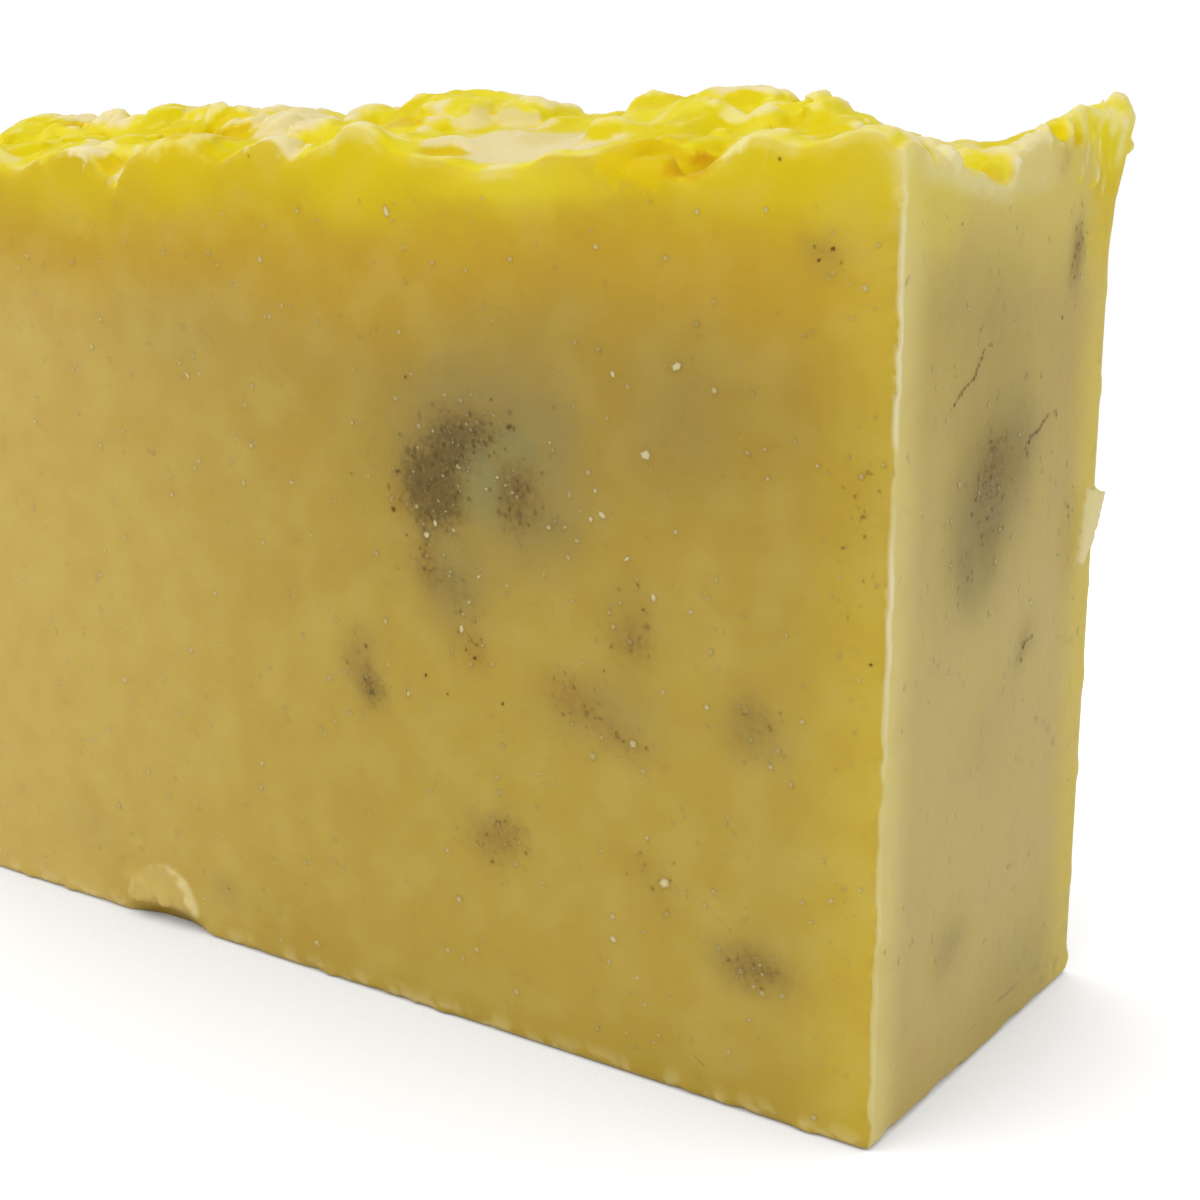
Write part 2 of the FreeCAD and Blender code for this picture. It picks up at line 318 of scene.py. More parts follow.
# Pits in the crest: distance from the near end, distance from the front face, height, three radii, and
# some a tilt in degrees
PITS = [
    (76, 8.2, 56.7, 2, 2, 0.9), (74, 11.4, 56.5, 1.3, 1.6, 0.9), (65.6, 0.3, 54.8, 2.4, 2.2, 0.9),
    (67.4, 0.2, 53.7, 0.6, 1.2, 0.9, 15), (58.6, 1, 54.1, 1.3, 1.8, 1.1, 10), (57.7, 0.4, 52.3, 0.4, 1, 0.6),
    (60.7, 12.4, 57, 2.6, 1.2, 0.5), (40.5, 9.7, 56.7, 1.9, 1.5, 0.9), (30.8, 2, 54.7, 1.7, 1.6, 1.2),
    (27.4, 8.3, 55.5, 2.1, 2.2, 0.6), (23.2, 12.2, 57.3, 1.2, 1.4, 0.7), (17, 7.8, 56.3, 2.3, 2, 0.9),
    (13, 1.8, 53.6, 1.2, 1.6, 0.9), (15.4, 0.9, 54.5, 2.2, 1.5, 0.9), (13.6, 2.6, 54.9, 2, 1.8, 1),
    (16.4, 11.4, 57.5, 1.6, 1, 0.6), (11.6, 9.3, 55.9, 1.5, 1.9, 1), (10.4, 7.6, 55.3, 0.8, 1.3, 0.8),
    (8.6, 10.3, 56.3, 1, 1, 0.6), (0.3, 3.8, 54.2, 0.7, 0.7, 0.6), (0.9, 8.6, 54.5, 1.8, 1.8, 1.1),
    (0.6, 11.9, 53.6, 1.4, 1.9, 1.1), (0.3, 20.5, 55.4, 0.8, 1.2, 0.7), (56.2, -0.8, 0.5, 3.2, 1.1, 1.1),
    (56.9, -0.9, 4.75, 0.4, 0.6, 0.45), (54.4, -0.9, 4.05, 0.35, 0.6, 0.35),
    (53.5, -0.9, 2.9, 0.35, 0.6, 0.4), (44, 20, 56.5, 2.2, 1.6, 1), (21, 22, 55.6, 2.6, 1.8, 1),
    (60, 23, 55.4, 1.8, 2.4, 1.1), (70.5, 20, 55.6, 2, 1.4, 0.9),
]

# A groove between two lumps that the camera sees end on: its middle, three radii and turn in degrees
GROOVE = (69.5, 14.0, 58.0)
GROOVE_RADII = (9.0, 1.3, 2.2)
GROOVE_TURN = 125.0

# Lumps and crumbs that lean over their neighbours, in the same terms as the pits
LEANING = [
    (70, 12.5, 56, 3.2, 2.6, 1.2), (64.5, 13.4, 56.7, 1.6, 1.8, 1, -8), (59.2, 13.6, 56.7, 4.2, 2, 1, 3),
    (55, 9, 56, 2.4, 2, 1.2), (58.9, 0.35, 2.2, 1.5, 0.75, 1.7), (29.2, 1.1, 53.7, 0.45, 0.35, 0.3),
    (28.5, 1, 53.5, 0.3, 0.3, 0.25), (30.9, 0.8, 53.9, 0.35, 0.35, 0.3), (22.8, 6.4, 55.5, 0.8, 0.9, 0.8),
    (21.4, 6.6, 55.6, 0.8, 0.8, 0.7), (11.9, 3.1, 54.5, 0.5, 0.6, 0.5), (12.3, 2.6, 53.9, 0.35, 0.4, 0.35),
    (11.4, 2.2, 54.1, 0.5, 0.6, 0.5), (14.2, 1, 53.1, 0.5, 0.4, 0.35), (0.4, 5.7, 54.2, 0.5, 0.4, 0.6),
    (0.3, 6.5, 54, 0.4, 0.35, 0.5), (23.3, 13.4, 57.1, 1.3, 1.6, 1), (19.6, 13.6, 57.2, 1.2, 1.6, 0.9),
    (16, 13.2, 57.2, 1.8, 1.8, 0.9), (10.2, 11, 56.6, 1.3, 1.4, 0.7), (1, 20.6, 55.3, 1, 2.2, 1.3),
    (0.9, 23.6, 55.7, 0.9, 1.8, 1.2), (0.8, 29.2, 51, 0.8, 0.9, 3.4), (0.9, 26.2, 56, 0.9, 1.4, 1.2),
    (0.5, 24.7, 56.7, 0.55, 0.45, 0.6), (0.2, 29.4, 57, 0.8, 0.9, 0.9), (0.4, 30.2, 55, 0.6, 0.6, 1.3),
    (0.3, 25.7, 56.7, 0.4, 0.35, 0.8), (0.2, 26.6, 56.2, 0.6, 0.5, 1), (0.1, 28.3, 56.9, 0.7, 0.6, 0.9),
    (-0.2, 29.5, 57.1, 0.6, 0.45, 0.7, 10), (-0.3, 29.6, 56, 0.5, 0.45, 0.5),
    (-0.4, 29.8, 54.4, 0.45, 0.35, 0.5),
]

# Columns this far in from the cut faces carry the crest's height on past them
RIM_MARGIN = 0.5

# How deep the crumbs reach under the crest, beside a cut face and further in
SKIN_DEPTH = 0.7
EXTRA_DEPTH = 1.1

# Creases between puffy lumps, as depth, cell size and half width: wide along the bar, and tight
# nearer to its end than the first of two distances, wholly so from the second
WIDE_CREASES = [(0.52, 3.1, 0.40), (0.20, 1.5, 0.42)]
TIGHT_CREASES = [(0.50, 2.7, 0.42), (0.26, 1.3, 0.42)]
TIGHT_FROM, TIGHT_FULL = 11.0, 7.0

# A finer crumb, as depth, cell size and seed, and how far the crest sinks to keep its mean height
CRUMBS = [(0.12, 1.0, SEED + 9), (0.08, 0.6, SEED + 2)]
CREST_SINK = 0.24

# The cream bowl is smoother than the crumbly lumps beside it: its distance from the near end, and
# half its length with and without its soft bounds
BOWL_FROM_END = 27.0
BOWL_HALF, BOWL_CALM = 11.0, 6.0

# Fibres of the lip: how many, their distance from the front face, the height of their feet, their
# length, and the place of those that reach above the given height
FIBRES = 30
FIBRE_FROM_FRONT = (21.5, 29.3)
FIBRE_FOOT = (51.0, 54.5)
FIBRE_LENGTH = (1.5, 3.6)
TALL_FIBRE = 56.3
TALL_FROM_FRONT = (26.5, 29.3)

# The burr on the upright edges of the near end: distance from the front face, radius and gap. Then
# how many crumbs and nicks the bottom edges have, and how far they keep from the flake
BURRS = [(0.28, 0.26, 1.6), (2 * HALF_THICKNESS - 0.32, 0.24, 4.0)]
BOTTOM_CRUMBS = 34
END_NICKS = 8
FLAKE_CLEAR = 6.0

# The torn rim of the flake: half the box around it, and depth, cell size and seed of its raggedness
FLAKE_REACH = 5.0
FLAKE_TEARS = [(0.30, 0.9, SEED + 12), (0.14, 0.5, SEED + 13)]
FLAKE_SINK = 0.08


def place(from_end, from_front, height):
    """A point in the frame from its distances to the near end and to the front face."""
    return HALF_LENGTH - from_end, from_front - HALF_THICKNESS, height


def top_heights(field, window):
    """The height of the crest over each column, carried on past the cut faces."""
    inside = field.values[window] < 0.0
    heights = field.axis(2, window[2])
    column = inside.shape[2] - 1 - np.argmax(inside[:, :, ::-1], axis=2)
    top = np.where(inside.any(axis=2), heights[column], heights[0])
    for i, half in enumerate((HALF_LENGTH, HALF_THICKNESS)):
        places = field.axis(i, window[i])
        kept = np.flatnonzero(np.abs(places) < half - RIM_MARGIN)
        top = np.take(top, np.clip(np.arange(len(places)), kept[0], kept[-1]), axis=i)
    return top


def layered_noise(axes, layers):
    """A sum of soft random lumps, given as height, cell size and seed."""
    return sum(height * noise(axes, cell, seed) for height, cell, seed in layers)


def creases(axes, layers):
    """Puffy lumps with creases between them, as heights."""
    return sum(height * ramp(np.abs(noise(axes, cell, SEED + i)), width, 0.0)
               for i, (height, cell, width) in enumerate(layers))


def roughen_crest(field):
    """Softens the facets of the crest and gives it crumbs, and keeps the cut faces flat."""
    window = field.window((-FAR, -FAR, CREST_FROM), (FAR, FAR, FAR))
    block = field.values[window]
    x, y, z = field.places(window)
    below = top_heights(field, window)[:, :, None] - z
    in_from_face = np.minimum(HALF_LENGTH - np.abs(x), HALF_THICKNESS - np.abs(y))
    depth = SKIN_DEPTH + EXTRA_DEPTH * ramp(in_from_face, 0.2, 1.2)
    skin = 1.0 - ramp(below / depth, 0.35, 1.0)
    block = block + (blurred(block, 2) - block) * skin
    axes = field.axes(window)
    along_bowl = ramp(np.abs(x - (HALF_LENGTH - BOWL_FROM_END)), BOWL_HALF, BOWL_CALM)
    calm = 1.0 - 0.75 * along_bowl * ramp(y, 0.0, -4.0)
    calm = calm * (0.3 + 0.7 * ramp(in_from_face, 0.4, 2.2))
    wide, tight = creases(axes, WIDE_CREASES), creases(axes, TIGHT_CREASES)
    crumbs = wide + (tight - wide) * ramp(x, HALF_LENGTH - TIGHT_FROM, HALF_LENGTH - TIGHT_FULL)
    crumbs += layered_noise(axes, CRUMBS) - CREST_SINK
    field.values[window] = block + crumbs * skin * calm


def carve_crest(field):
    """Cuts the pits and adds the leaning lumps."""
    for table, work in ((LEANING, field.add), (PITS, field.carve)):
        for row in table:
            work(place(*row[:3]), row[3:6], tilt=math.radians(sum(row[6:])))
    field.carve(place(*GROOVE), GROOVE_RADII, turn=math.radians(GROOVE_TURN))


def pull_fibres(field):
    """Draws upright fibres on the corner that clung to the mould."""
    chance = np.random.default_rng(SEED + 3)
    for _ in range(FIBRES):
        from_front = chance.uniform(*FIBRE_FROM_FRONT)
        low = chance.uniform(*FIBRE_FOOT)
        high = low + chance.uniform(*FIBRE_LENGTH)
        if high > TALL_FIBRE:
            from_front = chance.uniform(*TALL_FROM_FRONT)
        middle = place(chance.uniform(-0.25, 0.25), from_front, (low + high) / 2)
        radius = chance.uniform(0.2, 0.38)
        radii = (radius, radius * 1.2, (high - low) / 2)
        field.add(middle, radii, tilt=chance.uniform(-0.06, 0.1), soft=0.2)


def burr_edges(field):
    """Leaves the knife's burr on the upright edges of the near end, and crumbs along the bottom."""
    chance = np.random.default_rng(SEED + 4)
    for from_front, size, gap in BURRS:
        height = 1.0
        while height < RIM - 0.6:
            from_end = 0.28 + chance.uniform(-0.1, 0.12)
            spot = place(from_end, from_front + chance.uniform(-0.12, 0.12), height)
            long = chance.uniform(0.4, 1.3)
            field.add(spot, (size, size, long), tilt=chance.uniform(-0.15, 0.15), soft=0.2)
            height += long * gap * chance.uniform(0.8, 2.4)
    for _ in range(BOTTOM_CRUMBS):
        from_end = chance.uniform(3.0, 78.0)
        spot = place(from_end, 0.2, 0.35 + chance.uniform(-0.1, 0.25))
        radii = (chance.uniform(0.2, 0.8), 0.28, chance.uniform(0.15, 0.34))
        if abs(from_end - FLAKE_FROM_END) < FLAKE_CLEAR:
            continue
        if chance.uniform() < 0.6:
            field.add(spot, radii, soft=0.12)
        else:
            field.carve(place(from_end, 0.0, 0.1), radii, soft=0.15)
    for _ in range(END_NICKS):
        spot = place(0.1, chance.uniform(2.0, 28.0), 0.15)
        field.carve(spot, (0.3, chance.uniform(0.3, 1.6), chance.uniform(0.1, 0.3)), soft=0.2)


def tear_flake(field):
    """Makes the rim of the flake ragged where it stands out of the front face."""
    low = place(FLAKE_FROM_END + FLAKE_REACH, -3.0, 0.0)
    high = place(FLAKE_FROM_END - FLAKE_REACH, 0.5, 7.0)
    window = field.window(low, high)
    axes = field.axes(window)
    out = ramp(-field.places(window)[1] - HALF_THICKNESS, -0.05, 0.2)
    field.values[window] += (layered_noise(axes, FLAKE_TEARS) + FLAKE_SINK) * out


def keep_in_box(field):
    """Holds everything inside the solid's box, and the resting face flat."""
    x, y, z = field.places((slice(None),) * 3)
    for places, first, last in zip((x, y, z), cad_low, cad_high):
        field.values = np.maximum(field.values, np.maximum(first * MM - places, places - last * MM))


def sampled(values, at, soft=False):
    """Values of a grid at places between its points, and of a repeat of the grid beyond it."""
    base = np.floor(at).astype(int)
    share = at - base
    if soft:
        share = eased(share)
    total = np.zeros(len(at), np.float32)
    for dx in (0, 1):
        for dy in (0, 1):
            for dz in (0, 1):
                weight = np.abs(1 - dx - share[:, 0]) * np.abs(1 - dy - share[:, 1])
                weight = weight * np.abs(1 - dz - share[:, 2])
                step = (base + (dx, dy, dz)) % values.shape
                total += values[step[:, 0], step[:, 1], step[:, 2]] * weight
    return total


def clouds(points, cell, seed):
    """Soft random values between -1 and 1 at some points, with lumps of the given size."""
    table = np.random.default_rng(seed).uniform(-1.0, 1.0, (24, 24, 24)).astype(np.float32)
    return sampled(table, points / cell + 0.37, soft=True)


def refined(mesh):
    """Cuts the long edges of the cut faces, so that stains and shades are described finely enough."""
    work = bmesh.new()
    work.from_mesh(mesh)
    for _ in range(2):
        long = []
        for edge in work.edges:
            middle = (edge.verts[0].co + edge.verts[1].co) / 2
            in_front = middle.y * MM < NEAR_FACE - HALF_THICKNESS
            seen = in_front or middle.x * MM > HALF_LENGTH - NEAR_FACE
            limit = FINE_EDGE if seen else COARSE_EDGE
            if middle.z > OFF_FLOOR and edge.calc_length() * MM > limit:
                long.append(edge)
        bmesh.ops.subdivide_edges(work, edges=long, cuts=1, use_grid_fill=True)
    bmesh.ops.triangulate(work, faces=[face for face in work.faces if len(face.verts) > 4])
    work.to_mesh(mesh)
    work.free()


# Flecks and specks on the cut faces

# Those that stand out, listed by face: distance from the near end or, on the end face, from
# the front face, height, half width, half height
PALE_FLECKS = [
    ("front", [
        (13.6, 12.9, 0.42, 0.36), (17.2, 8.5, 0.22, 0.3), (51.3, 39.8, 0.16, 0.42), (15.1, 37.7, 0.52, 0.34),
        (18, 34, 0.2, 0.34), (18.8, 33.7, 0.2, 0.22), (17.3, 42, 0.22, 0.26), (13.1, 42.7, 0.36, 0.26),
        (16.3, 31.7, 0.3, 0.12), (14.5, 29.7, 0.2, 0.3), (33.6, 50.6, 0.26, 0.42), (28.4, 25.9, 0.2, 0.4),
        (31, 31.4, 0.26, 0.28), (30.3, 32.2, 0.18, 0.3), (27, 29.3, 0.2, 0.12),
    ]),
    ("end", [
        (7.2, 34.5, 0.1, 0.2), (6.6, 32.9, 0.1, 0.2), (7.4, 32, 0.1, 0.16), (6.9, 31, 0.1, 0.16),
        (4.6, 31.4, 0.1, 0.14), (3.6, 35.3, 0.12, 0.12), (0.8, 47.7, 0.45, 0.09), (1.1, 32.2, 0.36, 0.1),
        (20, 27.6, 0.22, 0.16),
    ]),
]
DARK_SPECKS = [
    ("front", [
        (25.3, 21.7, 0.17, 0.12), (0.9, 27.9, 0.16, 0.1), (33.6, 32.7, 0.2, 0.26), (33.2, 35.1, 0.26, 0.14),
        (32.6, 31.2, 0.12, 0.1), (29.6, 21.6, 0.11, 0.12), (31.3, 22.5, 0.2, 0.14), (17.9, 24.9, 0.12, 0.1),
        (15.5, 30.2, 0.12, 0.12), (15.2, 28.9, 0.14, 0.14), (32.4, 40.9, 0.14, 0.12), (37, 34.6, 0.12, 0.08),
        (25.9, 40, 0.14, 0.12), (3.8, 49.2, 0.22, 0.16), (4.6, 48.6, 0.16, 0.12), (49.7, 4.2, 0.14, 0.1),
        (27.4, 24.2, 0.18, 0.16), (28.1, 24.6, 0.14, 0.12), (7, 53.6, 0.14, 0.14), (44.8, 53.8, 0.09, 0.12),
        (24.6, 38.5, 0.3, 0.2),
    ]),
    ("end", [
        (21.7, 44.5, 0.1, 0.16), (7, 50.3, 0.08, 0.1), (12.3, 36.2, 0.14, 0.14), (12.7, 34.3, 0.12, 0.14),
        (25, 49.3, 0.08, 0.14), (24.3, 49, 0.1, 0.2), (23.7, 48.6, 0.16, 0.3), (23.2, 48, 0.12, 0.26),
        (22.8, 47.5, 0.08, 0.2), (17.6, 37.6, 0.3, 0.2), (18.6, 38, 0.26, 0.15), (10, 44.6, 0.1, 0.1),
        (18.3, 25.1, 0.16, 0.24),
    ]),
]

# Fine dark cracks in the end face as chains of points: distance from the front face, height
CRACKS = [
    [(17.0, 37.4), (17.4, 37.7), (18.2, 37.9), (19.0, 38.1),
     (19.6, 38.5), (20.3, 38.8), (21.1, 38.9), (21.9, 38.8)],
    [(6.4, 40.5), (7.2, 41.0), (8.1, 41.5), (8.7, 41.8),
     (9.4, 42.1), (9.9, 42.6), (10.6, 43.4), (11.7, 43.7)],
    [(17.5, 24.5), (18.1, 25.0), (19.0, 25.4), (19.9, 25.5)],
]

# The specks that draw a crack: their step, how far they stray, their half widths, and how many show
CRACK_STEP = 0.16
CRACK_STRAY = 0.05
CRACK_HALF_WIDTH = (0.07, 0.17)
CRACK_FILLED = 0.75

# Fine flecks strewn over each face: its distance from the near end or from the front face, and how
# many. Then how far they keep from its edges, and their greatest height
STREWN = [(None, 0.0, 1900), (0.0, None, 520), (None, 2 * HALF_THICKNESS, 160), (2 * HALF_LENGTH, None, 60)]
STREWN_MARGIN = 1.0
STREWN_TOP = 51.5

# Grains in the dark and rusty stains, and in the painted shadow beside the sliver, from this strength up:
# how many, how far apart in shares of the stain's radius, and the share of dark ones
GRAINY_FROM = 0.3
GRAINS = 9
GRAIN_SPREAD = 0.5
DARK_GRAINS = 0.62


def spots_wanted():
    """Every fleck and speck: its middle, the way its face looks, two half sizes, colour and strength."""
    chance = np.random.default_rng(SEED + 6)
    found = []

    def put(spot, wide, high, colour, strength):
        facing = 0 if spot[0] in (0.0, 2 * HALF_LENGTH) else 1
        found.append((spot, facing, wide, high, colour, strength))

    for table, colour, strength in ((PALE_FLECKS, FLECK, 0.9), (DARK_SPECKS, SPECK, 0.95)):
        for face, rows in table:
            for along, height, wide, high in rows:
                spot = (along, 0.0, height) if face == "front" else (0.0, along, height)
                put(spot, wide, high, colour, strength)
    for chain in CRACKS:
        for (y0, z0), (y1, z1) in zip(chain, chain[1:]):
            count = max(2, int(math.dist((y0, z0), (y1, z1)) / CRACK_STEP))
            for i in range(count):
                share = i / count
                y = y0 + (y1 - y0) * share + chance.normal(0.0, CRACK_STRAY)
                z = z0 + (z1 - z0) * share + chance.normal(0.0, CRACK_STRAY)
                size = chance.uniform(*CRACK_HALF_WIDTH)
                if chance.uniform() < CRACK_FILLED:
                    put((0.0, y, z), size, size * chance.uniform(0.7, 1.3), SPECK, chance.uniform(0.5, 0.9))
    for from_end, from_front, count in STREWN:
        for _ in range(count):
            along = chance.uniform(STREWN_MARGIN, 2 * HALF_LENGTH - STREWN_MARGIN)
            across = chance.uniform(STREWN_MARGIN, 2 * HALF_THICKNESS - STREWN_MARGIN)
            height = chance.uniform(STREWN_MARGIN, STREWN_TOP)
            spot = (along, from_front, height) if from_end is None else (from_end, across, height)
            size = 0.055 + 0.15 * chance.uniform() ** 4
            put(spot, size * chance.uniform(0.6, 1.5), size * chance.uniform(0.8, 1.6), FLECK,
                chance.uniform(0.25, 0.75))
    for kind, strength, middle, radii in stains_and_shadow():
        if kind == HAZE or strength < GRAINY_FROM:
            continue
        wide = radii[0] if middle[0] else radii[1]
        for _ in range(int(GRAINS * strength * radii[2] * max(wide, 0.6))):
            spot = tuple(at + chance.normal(0.0, GRAIN_SPREAD * radius) if at else 0.0
                         for at, radius in zip(middle, radii))
            dark = chance.uniform() < DARK_GRAINS
            size = 0.05 + 0.13 * chance.uniform() ** 2
            put(spot, size * chance.uniform(0.8, 1.3), size * chance.uniform(0.8, 1.5),
                SPECK if dark else FLECK, chance.uniform(*((0.15, 0.5) if dark else (0.2, 0.55))))
    return found


def spot_mesh(first_point):
    """Points, triangles, colours and strengths of all spots: flat fans that fade at their rims."""
    chance = np.random.default_rng(SEED + 8)
    points, triangles, tints = [], [], []
    for spot, facing, wide, high, colour, strength in spots_wanted():
        middle = np.array(place(*spot))
        middle[facing] += SPOT_LIFT * chance.uniform(0.7, 2.2) * (1.0 if middle[facing] > 0.0 else -1.0)
        across = 1 - facing
        start = first_point + len(points)
        turn = SPOT_TURN * chance.uniform(0.0, math.pi)
        points.append(middle)
        tints.append((*colour, strength))
        rings = ((0.55, 0.9), (1.0, 0.0)) if max(wide, high) > LARGE_SPOT else ((1.0, 0.0),)
        for reach, share in rings:
            for k in range(SPOT_CORNERS):
                angle = 2.0 * math.pi * k / SPOT_CORNERS
                stretch = reach * chance.uniform(0.7, 1.25)
                u = wide * math.cos(angle) * stretch
                v = high * math.sin(angle) * stretch
                corner = middle.copy()
                corner[across] += u * math.cos(turn) - v * math.sin(turn)
                corner[2] += u * math.sin(turn) + v * math.cos(turn)
                points.append(corner)
                tints.append((*colour, strength * share))
        flip = (middle[facing] > 0.0) == (facing == 1)
        for k in range(SPOT_CORNERS):
            after = (k + 1) % SPOT_CORNERS
            inner, next_inner = start + 1 + k, start + 1 + after
            fan = [(start, inner, next_inner)]
            if len(rings) == 2:
                outer, next_outer = inner + SPOT_CORNERS, next_inner + SPOT_CORNERS
                fan += [(inner, outer, next_outer), (inner, next_outer, next_inner)]
            triangles += [triangle[::-1] if flip else triangle for triangle in fan]
    return np.array(points), triangles, np.array(tints)


# Colours of the crest, its stains and its edges

# Patches on and near the crest: colour, strength, distance from the near end, from the front face,
# height, three radii. The amber ones in the large cavity are painted shade
PATCHES = [
    (CREAM, 1, 26.5, 5.5, 54.6, 8.5, 6, 2.8), (CREAM, 0.9, 33.5, 10.5, 56.2, 4.2, 3.6, 2.2),
    (TAN, 0.35, 27.4, 8.2, 55, 2.5, 2.6, 1.2), (TAN, 0.4, 34.5, 12.4, 56.6, 2.8, 1.6, 1),
    (DEEP, 1, 30.8, 2.1, 54.1, 1.9, 1.9, 1.3), (DEEP, 1, 40.5, 9.6, 56.3, 2.1, 1.7, 1),
    (LEMON, 0.9, 36.8, 11, 56.9, 1.3, 1, 0.8), (LEMON, 0.9, 35.8, 14, 57.6, 1.8, 1.2, 0.7),
    (LEMON, 0.9, 33, 13.4, 57.1, 1.5, 1.4, 0.9), (LEMON, 0.9, 40, 12, 57.5, 1.6, 1.3, 0.8),
    (VIVID, 1, 22.3, 6.3, 55.3, 2.1, 2, 1.4), (CREAM, 1, 48.4, 8, 56, 5.5, 6.5, 2.2),
    (IVORY, 0.8, 35.5, 3.2, 55.6, 4.8, 3, 1.3), (CREAM, 0.8, 60, 13.4, 57, 6.5, 4.5, 1.6),
    (LEMON, 1, 60.7, 12.2, 56.7, 3, 1.5, 0.7), (DEEP, 1, 52.6, 3, 54.8, 4.8, 5, 3),
    (LEMON, 1, 76, 8, 56.3, 2.6, 2.2, 1), (DEEP, 1, 74, 11.3, 56.1, 1.6, 1.8, 1),
    (VIVID, 1, 65.5, 0.8, 54.4, 3, 2.4, 1.3), (IVORY, 0.8, 61.2, 1.4, 54.8, 2.6, 2.6, 1.2),
    (DEEP, 1, 58.5, 1, 53.8, 1.6, 2.2, 1.7), (VIVID, 1, 23.2, 12.4, 57.2, 1.8, 1.9, 1.2),
    (VIVID, 1, 17.4, 7.4, 55.8, 3.4, 3.2, 1.8), (DEEP, 0.8, 16.2, 4.6, 54.6, 2.2, 2, 1.2),
    (AMBER_SHADE, 1, 13.1, 2.2, 53.4, 1.6, 2, 1.1), (VIVID, 0.9, 11.9, 3, 54.4, 1.6, 1.5, 1.3),
    (VIVID, 0.9, 13.6, 4.4, 54.8, 2, 1.9, 1.2), (IVORY, 0.9, 10.1, 0.6, 54.5, 1.4, 1.2, 1.1),
    (IVORY, 0.6, 14.1, 0.8, 53, 1, 0.6, 0.4), (VIVID, 1, 16.4, 11.5, 57.2, 1.9, 1.3, 0.8),
    (IVORY, 0.7, 14.8, 10.2, 56.1, 2.4, 1.6, 1), (VIVID, 1, 11.2, 8.8, 55.4, 1.9, 2.5, 1.5),
    (LEMON, 0.9, 8.6, 10.2, 56, 1.3, 1.4, 0.9), (CREAM, 0.8, 4.5, 3, 55.2, 3.6, 3, 0.9),
    (CREAM, 0.8, 4.5, 13, 55.2, 5, 6, 1.6), (VIVID, 1, 0.3, 3.7, 54, 1, 1, 0.9),
    (WHITE, 0.75, 0.2, 6, 53.8, 1, 0.9, 0.9), (VIVID, 1, 0.9, 9.2, 53.9, 2.3, 2.9, 1.5),
    (DEEP, 1, 0.4, 12, 53.2, 1.4, 2.2, 1.1), (CREAM, 0.8, 1.5, 16.5, 55, 3, 4, 1.6),
    (LEMON, 0.9, 0, 25, 56, 2, 5.5, 2.2), (LEMON, 0.9, 0, 27.8, 55.6, 3, 3.6, 4.4),
    (VIVID, 1, 0.3, 20.5, 55.3, 1.4, 1.5, 1), (LEMON, 0.26, 0, 3.4, 52.4, 2, 5.4, 4.4),
    (PALE, 0.55, 0, 4.6, 53.2, 2, 4, 1.3), (PALE, 0.65, 0, 8.6, 52.5, 2, 4, 1.1),
    (PALE, 0.55, 0, 12.2, 52, 2, 3, 0.8), (PALE, 0.35, 0, 16, 53.2, 2, 6, 2),
    (DEEP, 0.7, 51.8, 0, 54, 5.6, 1.5, 5), (VIVID, 0.45, 35.5, 0, 53.6, 7, 1.5, 5.2),
    (VIVID, 0.36, 5, 0, 54.2, 12, 1.5, 4.8), (SAGE, 0.7, 26.7, 0, 34.9, 1.9, 1.5, 3),
    (SAGE, 0.6, 24.1, 0, 37.3, 2.2, 1.5, 1.6), (SAGE, 0.32, 0, 11, 32, 2, 4.2, 5.2),
    (DEEP, 0.45, 0, 27.6, 50.6, 2, 3.6, 5.2), (DEEP, 1, 15.6, 1, 53.8, 3.8, 2.6, 2.2),
    (VIVID, 1, 17.6, 5, 55.4, 3.6, 3, 1.6), (AMBER_SHADE, 0.55, 12.6, 0.6, 53.2, 2, 1.2, 0.8),
    (LEMON, 0.5, 72, 0, 53.6, 7, 1.5, 1.6), (LEMON, 0.5, 24, 0, 52.2, 8.5, 1.5, 1.6),
]

# The rim in front of the large cavity stays golden: its middle and three radii
GOLDEN_RIM = (14.8, 1.6, 53.8)
GOLDEN_RADII = (5.0, 5.0, 2.6)

# Where the rim of the front face is dried white: from and to, as distances from the near end
WHITE_RIM = [
    (19.4, 31.6, 0.95), (36.8, 42.2, 0.75), (44.6, 48.4, 0.75), (31.6, 36.8, 0.35), (4.8, 7.6, 1),
    (0, 4.8, 0.45), (59.5, 63.5, 0.7), (68, 82, 0.5),
]


def nearness(points, centre, radii):
    """1 at an egg's middle, falling softly to 0 at its outside."""
    share = (points - np.array(place(*centre))) / np.array(radii)
    return eased(np.clip(1.0 - (share * share).sum(axis=1), 0.0, 1.0))


def blend(colours, target, share):
    """Moves each colour towards the target by its share."""
    return colours + (np.array(target) - colours) * share[:, None]


def cover(colours, shares, target, share):
    """Lays a colour over what is there, as paint that covers a share of it."""
    total = share + shares * (1.0 - share)
    return blend(colours, target, share / np.maximum(total, 1e-6)), total


